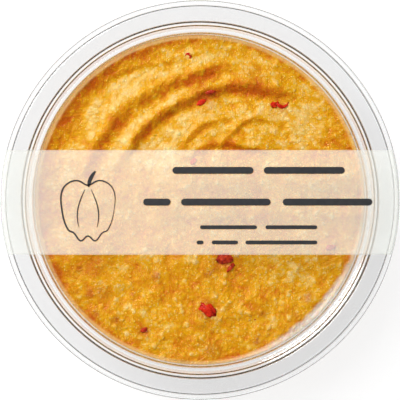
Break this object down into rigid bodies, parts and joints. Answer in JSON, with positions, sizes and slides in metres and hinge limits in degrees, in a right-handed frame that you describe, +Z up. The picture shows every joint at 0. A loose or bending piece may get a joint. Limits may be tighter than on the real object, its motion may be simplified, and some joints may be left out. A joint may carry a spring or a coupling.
{
  "type": "pot of red pepper hummus",
  "caption": "Flat round clear pot of orange red pepper hummus, shut with a clear press-on lid and a translucent label band across it.",
  "frame": {"origin": "middle of the underside of the pot, where it rests", "axes": "+Z up through the pot's axis, +X along the label band, +Y towards the far side of the label's print"},
  "size_m": [0.1174, 0.116, 0.0389],
  "materials": {
    "tub": "clear, smooth thermoformed plastic",
    "lid": "clear, smooth thin thermoformed plastic",
    "hummus": "coarse orange puree with a moist, oily sheen",
    "red_pepper": "wet cooked red pepper flesh",
    "label_film": "translucent whitish label film",
    "print": "flat near-black print"
  },
  "bodies": {
    "root": {"tub": "tub", "hummus": "hummus", "lid": "lid", "label_band": "label_film"}
  },
  "joints": []
}
